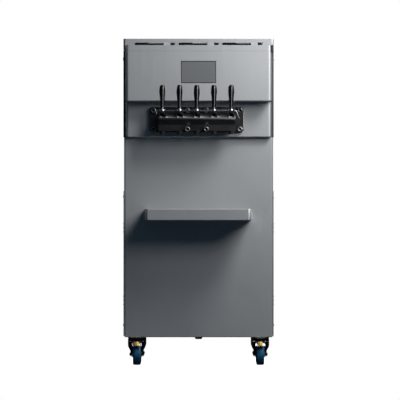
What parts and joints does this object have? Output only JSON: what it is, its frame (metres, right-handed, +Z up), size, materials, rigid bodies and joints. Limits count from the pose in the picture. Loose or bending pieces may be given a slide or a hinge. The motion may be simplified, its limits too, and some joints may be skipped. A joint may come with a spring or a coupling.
{
  "type": "soft serve machine",
  "caption": "Floor-standing soft serve machine: brushed steel cabinet, black dispensing head with pull levers, drip tray, lidded hoppers under a top gallery and swivel casters.",
  "frame": {"origin": "on the floor, under the middle of the machine's outer box", "axes": "+X to the right of a user who faces the levers, +Y to the back, +Z up"},
  "size_m": [0.697, 0.88, 1.5],
  "materials": {
    "cabinet_steel": "satin grey brushed stainless sheet",
    "deck_steel": "brushed food-grade stainless",
    "frame_steel": "grey powder coat on steel angle",
    "display": "unlit display behind a satin cover",
    "motor_paint": "dark enamel",
    "condenser_aluminium": "bare fins",
    "head_black": "polished black",
    "nut_steel": "dark plated, knurled",
    "polished_steel": "polished stainless",
    "nozzle_black": "moulded black",
    "valve_plastic": "machined dark acetal",
    "grip_black": "polished black",
    "lid_black": "moulded black lid with a steel tab",
    "caster_black": "black coated steel",
    "tyre_blue": "blue elastic rubber",
    "pedal_zinc": "bright zinc plate",
    "drain_black": "moulded black",
    "gland_black": "moulded black",
    "screw_steel": "turned stainless",
    "fan_black": "moulded black"
  },
  "bodies": {
    "cabinet": {"chassis_frame": "frame_steel", "front_panel": "cabinet_steel", "dispensing_fascia": "cabinet_steel", "header_panel": "cabinet_steel", "header_band": "cabinet_steel", "touch_screen": "display", "side_panel_left_upper": "cabinet_steel", "side_panel_right_upper": "cabinet_steel", "side_panel_left_lower": "cabinet_steel", "side_panel_right_lower": "cabinet_steel", "rear_panel": "cabinet_steel", "top_gallery": "cabinet_steel", "top_deck": "deck_steel", "hopper_tubs": "deck_steel", "freezing_cylinders": "deck_steel", "gearmotors": "motor_paint", "compressor": "motor_paint", "condenser": "condenser_aluminium", "head_block": "head_black", "head_nuts": "nut_steel", "pivot_rod": "polished_steel", "nozzles": "nozzle_black", "caster_plates": "caster_black", "drain_spigot": "drain_black", "side_screws": "screw_steel", "cable_gland": "gland_black"},
    "drip_tray": {"drip_tray": "cabinet_steel", "drip_tray_grid": "deck_steel"},
    "condenser_fan": {"condenser_fan": "fan_black"},
    "lever_1": {"lever_arm_1": "polished_steel", "lever_grip_1": "grip_black"},
    "piston_1": {"piston_1": "valve_plastic"},
    "lever_2": {"lever_arm_2": "polished_steel", "lever_grip_2": "grip_black"},
    "piston_2": {"piston_2": "valve_plastic"},
    "lever_3": {"lever_arm_3": "polished_steel", "lever_grip_3": "grip_black"},
    "piston_3": {"piston_3": "valve_plastic"},
    "lever_4": {"lever_arm_4": "polished_steel", "lever_grip_4": "grip_black"},
    "piston_4": {"piston_4": "valve_plastic"},
    "lever_5": {"lever_arm_5": "polished_steel", "lever_grip_5": "grip_black"},
    "piston_5": {"piston_5": "valve_plastic"},
    "hopper_lid_left": {"hopper_lid_left": "lid_black"},
    "beater_left": {"beater_left": "deck_steel"},
    "hopper_lid_centre": {"hopper_lid_centre": "lid_black"},
    "beater_centre": {"beater_centre": "deck_steel"},
    "hopper_lid_right": {"hopper_lid_right": "lid_black"},
    "beater_right": {"beater_right": "deck_steel"},
    "caster_fork_front_left": {"caster_fork_front_left": "caster_black"},
    "caster_wheel_front_left": {"caster_wheel_front_left": "tyre_blue"},
    "caster_fork_front_right": {"caster_fork_front_right": "caster_black"},
    "caster_wheel_front_right": {"caster_wheel_front_right": "tyre_blue"},
    "caster_fork_rear_left": {"caster_fork_rear_left": "caster_black"},
    "caster_wheel_rear_left": {"caster_wheel_rear_left": "tyre_blue"},
    "caster_fork_rear_right": {"caster_fork_rear_right": "caster_black"},
    "caster_wheel_rear_right": {"caster_wheel_rear_right": "tyre_blue"},
    "brake_pedal_front_left": {"brake_pedal_front_left": "pedal_zinc"},
    "brake_pedal_front_right": {"brake_pedal_front_right": "pedal_zinc"}
  },
  "joints": [
    {"name": "lever_1_pull", "type": "hinge", "parent": "cabinet", "child": "lever_1", "pos_m": [-0.166, -0.371, 1.169], "axis": [1, 0, 0], "range_deg": [0, 50]},
    {"name": "piston_1_rise", "type": "slide", "parent": "cabinet", "child": "piston_1", "axis": [0, 0, 1], "range_m": [0, 0.02267]},
    {"name": "lever_2_pull", "type": "hinge", "parent": "cabinet", "child": "lever_2", "pos_m": [-0.087, -0.371, 1.169], "axis": [1, 0, 0], "range_deg": [0, 50]},
    {"name": "piston_2_rise", "type": "slide", "parent": "cabinet", "child": "piston_2", "axis": [0, 0, 1], "range_m": [0, 0.02267]},
    {"name": "lever_3_pull", "type": "hinge", "parent": "cabinet", "child": "lever_3", "pos_m": [-0.008, -0.371, 1.169], "axis": [1, 0, 0], "range_deg": [0, 50]},
    {"name": "piston_3_rise", "type": "slide", "parent": "cabinet", "child": "piston_3", "axis": [0, 0, 1], "range_m": [0, 0.02267]},
    {"name": "lever_4_pull", "type": "hinge", "parent": "cabinet", "child": "lever_4", "pos_m": [0.071, -0.371, 1.169], "axis": [1, 0, 0], "range_deg": [0, 50]},
    {"name": "piston_4_rise", "type": "slide", "parent": "cabinet", "child": "piston_4", "axis": [0, 0, 1], "range_m": [0, 0.02267]},
    {"name": "lever_5_pull", "type": "hinge", "parent": "cabinet", "child": "lever_5", "pos_m": [0.15, -0.371, 1.169], "axis": [1, 0, 0], "range_deg": [0, 50]},
    {"name": "piston_5_rise", "type": "slide", "parent": "cabinet", "child": "piston_5", "axis": [0, 0, 1], "range_m": [0, 0.02267]},
    {"name": "hopper_lid_left_lift", "type": "slide", "parent": "cabinet", "child": "hopper_lid_left", "axis": [0, 0, 1], "range_m": [0, 0.06]},
    {"name": "hopper_lid_centre_lift", "type": "slide", "parent": "cabinet", "child": "hopper_lid_centre", "axis": [0, 0, 1], "range_m": [0, 0.06]},
    {"name": "hopper_lid_right_lift", "type": "slide", "parent": "cabinet", "child": "hopper_lid_right", "axis": [0, 0, 1], "range_m": [0, 0.06]},
    {"name": "beater_left_spin", "type": "hinge", "parent": "cabinet", "child": "beater_left", "pos_m": [-0.166, 0, 1.13], "axis": [0, 1, 0], "continuous": true},
    {"name": "beater_centre_spin", "type": "hinge", "parent": "cabinet", "child": "beater_centre", "pos_m": [-0.008, 0, 1.13], "axis": [0, 1, 0], "continuous": true},
    {"name": "beater_right_spin", "type": "hinge", "parent": "cabinet", "child": "beater_right", "pos_m": [0.15, 0, 1.13], "axis": [0, 1, 0], "continuous": true},
    {"name": "condenser_fan_spin", "type": "hinge", "parent": "cabinet", "child": "condenser_fan", "pos_m": [0.06, 0.305, 0.35], "axis": [0, 1, 0], "continuous": true},
    {"name": "drip_tray_lift", "type": "slide", "parent": "cabinet", "child": "drip_tray", "axis": [0, 0, 1], "range_m": [0, 0.014]},
    {"name": "caster_front_left_swivel", "type": "hinge", "parent": "cabinet", "child": "caster_fork_front_left", "pos_m": [-0.284, -0.165, 0.124], "axis": [0, 0, 1], "continuous": true},
    {"name": "caster_front_left_roll", "type": "hinge", "parent": "caster_fork_front_left", "child": "caster_wheel_front_left", "pos_m": [-0.284, -0.2, 0.05], "axis": [1, 0, 0], "continuous": true},
    {"name": "brake_front_left_press", "type": "hinge", "parent": "caster_fork_front_left", "child": "brake_pedal_front_left", "pos_m": [-0.284, -0.173, 0.108], "axis": [1, 0, 0], "range_deg": [0, 5]},
    {"name": "caster_front_right_swivel", "type": "hinge", "parent": "cabinet", "child": "caster_fork_front_right", "pos_m": [0.284, -0.165, 0.124], "axis": [0, 0, 1], "continuous": true},
    {"name": "caster_front_right_roll", "type": "hinge", "parent": "caster_fork_front_right", "child": "caster_wheel_front_right", "pos_m": [0.284, -0.2, 0.05], "axis": [1, 0, 0], "continuous": true},
    {"name": "brake_front_right_press", "type": "hinge", "parent": "caster_fork_front_right", "child": "brake_pedal_front_right", "pos_m": [0.284, -0.173, 0.108], "axis": [1, 0, 0], "range_deg": [0, 5]},
    {"name": "caster_rear_left_swivel", "type": "hinge", "parent": "cabinet", "child": "caster_fork_rear_left", "pos_m": [-0.284, 0.355, 0.124], "axis": [0, 0, 1], "continuous": true},
    {"name": "caster_rear_left_roll", "type": "hinge", "parent": "caster_fork_rear_left", "child": "caster_wheel_rear_left", "pos_m": [-0.284, 0.32, 0.05], "axis": [1, 0, 0], "continuous": true},
    {"name": "caster_rear_right_swivel", "type": "hinge", "parent": "cabinet", "child": "caster_fork_rear_right", "pos_m": [0.284, 0.355, 0.124], "axis": [0, 0, 1], "continuous": true},
    {"name": "caster_rear_right_roll", "type": "hinge", "parent": "caster_fork_rear_right", "child": "caster_wheel_rear_right", "pos_m": [0.284, 0.32, 0.05], "axis": [1, 0, 0], "continuous": true}
  ],
  "couplings": [
    {"joint": "piston_1_rise", "follows": "lever_1_pull", "m_per_rad": 0.02597},
    {"joint": "piston_2_rise", "follows": "lever_2_pull", "m_per_rad": 0.02597},
    {"joint": "piston_3_rise", "follows": "lever_3_pull", "m_per_rad": 0.02597},
    {"joint": "piston_4_rise", "follows": "lever_4_pull", "m_per_rad": 0.02597},
    {"joint": "piston_5_rise", "follows": "lever_5_pull", "m_per_rad": 0.02597}
  ]
}
